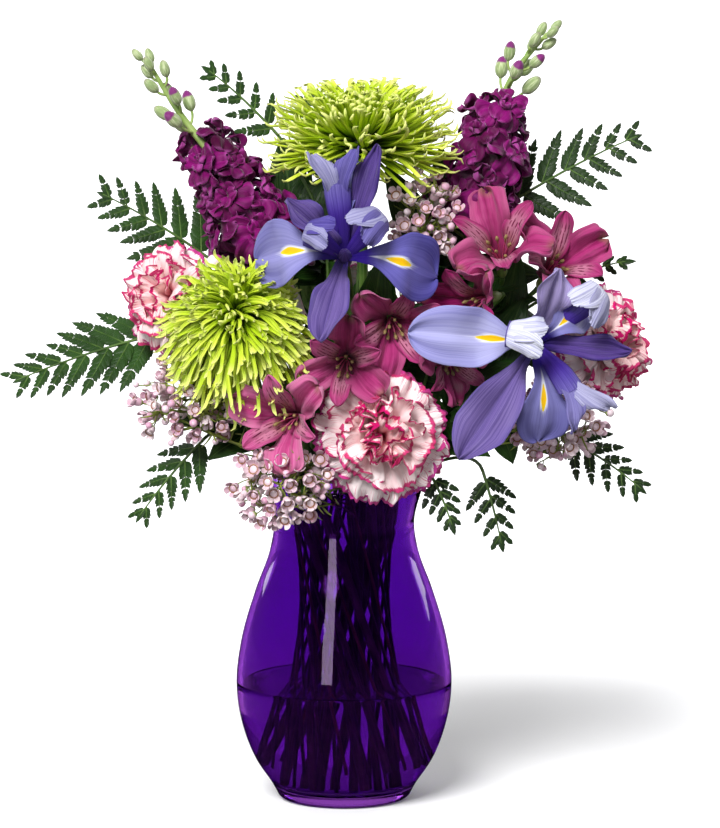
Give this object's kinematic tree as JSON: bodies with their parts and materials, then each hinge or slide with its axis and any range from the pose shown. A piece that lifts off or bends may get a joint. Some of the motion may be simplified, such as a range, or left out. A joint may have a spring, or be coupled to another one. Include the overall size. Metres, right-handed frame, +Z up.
{
  "type": "irises in a vase",
  "caption": "Irises in a vase: a mixed bunch of irises, carnations, spider chrysanthemums, stock, alstroemeria, waxflower, leafy sprigs and fern standing in a violet glass vase.",
  "frame": {"origin": "centre of the vase's flat underside", "axes": "+Z up along the vase's axis, -Y towards the viewer's side of the bunch, +X to the viewer's right"},
  "size_m": [0.3726, 0.2069, 0.4497],
  "materials": {
    "violet_glass": "clear violet glass, polished",
    "water": "clear water tinted by the glass",
    "iris": "satin petals, lavender falls with a yellow signal, violet standards",
    "carnation": "cream petals with ragged crimson edges",
    "mum": "yellow-green petals",
    "stock": "deep magenta petals",
    "alstroemeria": "pink petals with dark streaks",
    "waxflower": "pale waxy petals",
    "stem": "fresh green stems and leaves",
    "greenery": "smooth dark green leaves",
    "fern": "glossy dark green leaflets"
  },
  "bodies": {
    "root": {"alstroemeria_1_bloom_1": "alstroemeria", "alstroemeria_1_bloom_2": "alstroemeria", "alstroemeria_1_bloom_3": "alstroemeria", "alstroemeria_1_stem": "stem", "alstroemeria_2_bloom_1": "alstroemeria", "alstroemeria_2_bloom_2": "alstroemeria", "alstroemeria_2_bloom_3": "alstroemeria", "alstroemeria_2_stem": "stem", "alstroemeria_3_bloom_1": "alstroemeria", "alstroemeria_3_stem": "stem", "alstroemeria_4_bloom_1": "alstroemeria", "alstroemeria_4_stem": "stem", "carnation_1_head": "carnation", "carnation_1_stem": "stem", "carnation_2_head": "carnation", "carnation_2_stem": "stem", "carnation_3_head": "carnation", "carnation_3_stem": "stem", "carnation_4_head": "carnation", "carnation_4_stem": "stem", "fern_1": "fern", "fern_10": "fern", "fern_11": "fern", "fern_12": "fern", "fern_2": "fern", "fern_3": "fern", "fern_4": "fern", "fern_5": "fern", "fern_6": "fern", "fern_7": "fern", "fern_8": "fern", "fern_9": "fern", "greenery_1": "greenery", "greenery_2": "greenery", "greenery_3": "greenery", "greenery_4": "greenery", "greenery_5": "greenery", "greenery_6": "greenery", "iris_1_bloom": "iris", "iris_1_stem": "stem", "iris_2_bloom": "iris", "iris_2_stem": "stem", "mum_1_head": "mum", "mum_1_stem": "stem", "mum_2_head": "mum", "mum_2_stem": "stem", "stock_1_florets": "stock", "stock_1_stem": "stem", "stock_1_tip": "stem", "stock_2_florets": "stock", "stock_2_stem": "stem", "stock_2_tip": "stem", "vase": "violet_glass", "water": "water", "waxflower_1": "waxflower", "waxflower_2": "waxflower", "waxflower_3": "waxflower", "waxflower_4": "waxflower", "waxflower_5": "waxflower"}
  },
  "joints": []
}
